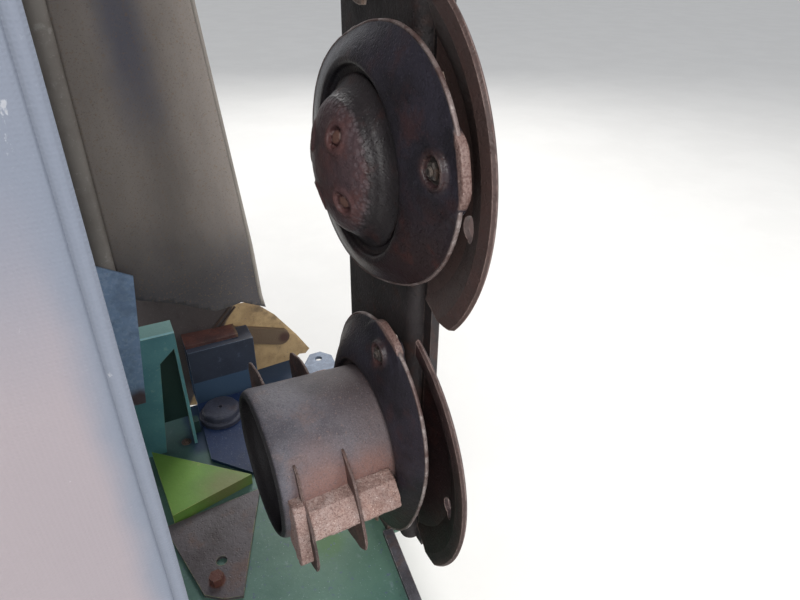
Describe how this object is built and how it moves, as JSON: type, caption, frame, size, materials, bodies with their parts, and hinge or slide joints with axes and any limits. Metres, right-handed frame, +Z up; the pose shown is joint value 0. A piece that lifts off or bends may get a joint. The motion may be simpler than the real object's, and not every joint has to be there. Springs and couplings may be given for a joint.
{
  "type": "folded disc mower cutting unit",
  "caption": "Cutterbar of a disc mower folded upright: gear case with oval discs, drum, swinging knives, rock guards, inner end frame, hood rails and curtains.",
  "frame": {"origin": "middle of the fold hinge bore under the inner end frame", "axes": "+Z up along the folded bar towards its outer end, +Y to the mower's rear along the hinge bore, +X to the ground side of the bar"},
  "size_m": [0.592, 0.991, 1.886],
  "materials": {
    "case_paint": "dark weathered paint over rust",
    "spindle_steel": "greasy dark casting",
    "guard_rust": "red-brown rust with worn light edges",
    "disc_steel": "worn dark steel, polished rim, rusty pads",
    "drum_steel": "brown-grey pitted steel",
    "dome_cast": "rust-red casting",
    "knife_steel": "rusty, ground edges",
    "shaft_steel": "greasy machined steel",
    "green_paint": "faded green paint, chipped",
    "lime_paint": "sunlit yellow-green paint",
    "edge_steel": "dark worn flat bar",
    "worn_plate": "brown-grey worn steel",
    "pivot_paint": "blue-grey paint, dusty",
    "cap_steel": "brown cap",
    "slate_paint": "slate paint",
    "tie_rust": "red rust",
    "flap_rubber": "tan sunlit rubber",
    "galvanised": "galvanised, spangled",
    "rail_steel": "dusty grey tube",
    "cover_vinyl": "grey coated cover",
    "front_vinyl": "light grey coated curtain",
    "rear_vinyl": "warm grey speckled curtain"
  },
  "bodies": {
    "frame": {"gear_case": "case_paint", "spindle_housings": "spindle_steel", "case_feet": "case_paint", "deck_plate": "green_paint", "deck_edge_bar": "edge_steel", "rear_tab": "galvanised", "hinge_ears": "green_paint", "lift_ear": "green_paint", "wear_plate": "worn_plate", "gusset_plate": "lime_paint", "pivot_plate": "pivot_paint", "pivot_cap": "cap_steel", "upright_panel": "green_paint", "box_tube": "slate_paint", "tie_strip": "tie_rust", "corner_flap": "flap_rubber", "rail_bracket": "galvanised", "rear_rail": "rail_steel", "front_rail": "rail_steel", "front_arm": "green_paint", "outer_end_plate": "green_paint", "top_cover": "cover_vinyl", "front_curtain": "front_vinyl", "rear_curtain": "rear_vinyl", "rock_guard_1": "guard_rust", "rock_guard_2": "guard_rust", "rock_guard_3": "guard_rust", "rock_guard_4": "guard_rust"},
    "disc_1": {"disc_1": "disc_steel", "drum": "drum_steel", "drum_paddle_a": "drum_steel", "drum_paddle_b": "drum_steel", "drive_shaft": "shaft_steel"},
    "disc_2": {"disc_2": "disc_steel", "hub_dome_2": "dome_cast"},
    "disc_3": {"disc_3": "disc_steel", "hub_dome_3": "dome_cast"},
    "disc_4": {"disc_4": "disc_steel", "hub_dome_4": "dome_cast"},
    "knife_1a": {"knife_1a": "knife_steel"},
    "knife_1b": {"knife_1b": "knife_steel"},
    "knife_2a": {"knife_2a": "knife_steel"},
    "knife_2b": {"knife_2b": "knife_steel"},
    "knife_3a": {"knife_3a": "knife_steel"},
    "knife_3b": {"knife_3b": "knife_steel"},
    "knife_4a": {"knife_4a": "knife_steel"},
    "knife_4b": {"knife_4b": "knife_steel"}
  },
  "joints": [
    {"name": "disc_1_spin", "type": "hinge", "parent": "frame", "child": "disc_1", "pos_m": [0.15, -0.06, 0.35], "axis": [1, 0, 0], "continuous": true},
    {"name": "knife_1a_swing", "type": "hinge", "parent": "disc_1", "child": "knife_1a", "pos_m": [0.1625, -0.09852, 0.51044], "axis": [1, 0, 0], "continuous": true},
    {"name": "knife_1b_swing", "type": "hinge", "parent": "disc_1", "child": "knife_1b", "pos_m": [0.1625, -0.02148, 0.18956], "axis": [1, 0, 0], "continuous": true},
    {"name": "disc_2_spin", "type": "hinge", "parent": "frame", "child": "disc_2", "pos_m": [0.15, -0.06, 0.76], "axis": [1, 0, 0], "continuous": true},
    {"name": "knife_2a_swing", "type": "hinge", "parent": "disc_2", "child": "knife_2a", "pos_m": [0.1625, -0.22044, 0.79852], "axis": [1, 0, 0], "continuous": true},
    {"name": "knife_2b_swing", "type": "hinge", "parent": "disc_2", "child": "knife_2b", "pos_m": [0.1625, 0.10044, 0.72148], "axis": [1, 0, 0], "continuous": true},
    {"name": "disc_3_spin", "type": "hinge", "parent": "frame", "child": "disc_3", "pos_m": [0.15, -0.06, 1.17], "axis": [1, 0, 0], "continuous": true},
    {"name": "knife_3a_swing", "type": "hinge", "parent": "disc_3", "child": "knife_3a", "pos_m": [0.1625, -0.09852, 1.33044], "axis": [1, 0, 0], "continuous": true},
    {"name": "knife_3b_swing", "type": "hinge", "parent": "disc_3", "child": "knife_3b", "pos_m": [0.1625, -0.02148, 1.00956], "axis": [1, 0, 0], "continuous": true},
    {"name": "disc_4_spin", "type": "hinge", "parent": "frame", "child": "disc_4", "pos_m": [0.15, -0.06, 1.58], "axis": [1, 0, 0], "continuous": true},
    {"name": "knife_4a_swing", "type": "hinge", "parent": "disc_4", "child": "knife_4a", "pos_m": [0.1625, -0.22044, 1.61852], "axis": [1, 0, 0], "continuous": true},
    {"name": "knife_4b_swing", "type": "hinge", "parent": "disc_4", "child": "knife_4b", "pos_m": [0.1625, 0.10044, 1.54148], "axis": [1, 0, 0], "continuous": true}
  ],
  "couplings": [
    {"joint": "disc_2_spin", "follows": "disc_1_spin", "ratio": -1},
    {"joint": "disc_3_spin", "follows": "disc_1_spin", "ratio": 1},
    {"joint": "disc_4_spin", "follows": "disc_1_spin", "ratio": -1}
  ]
}
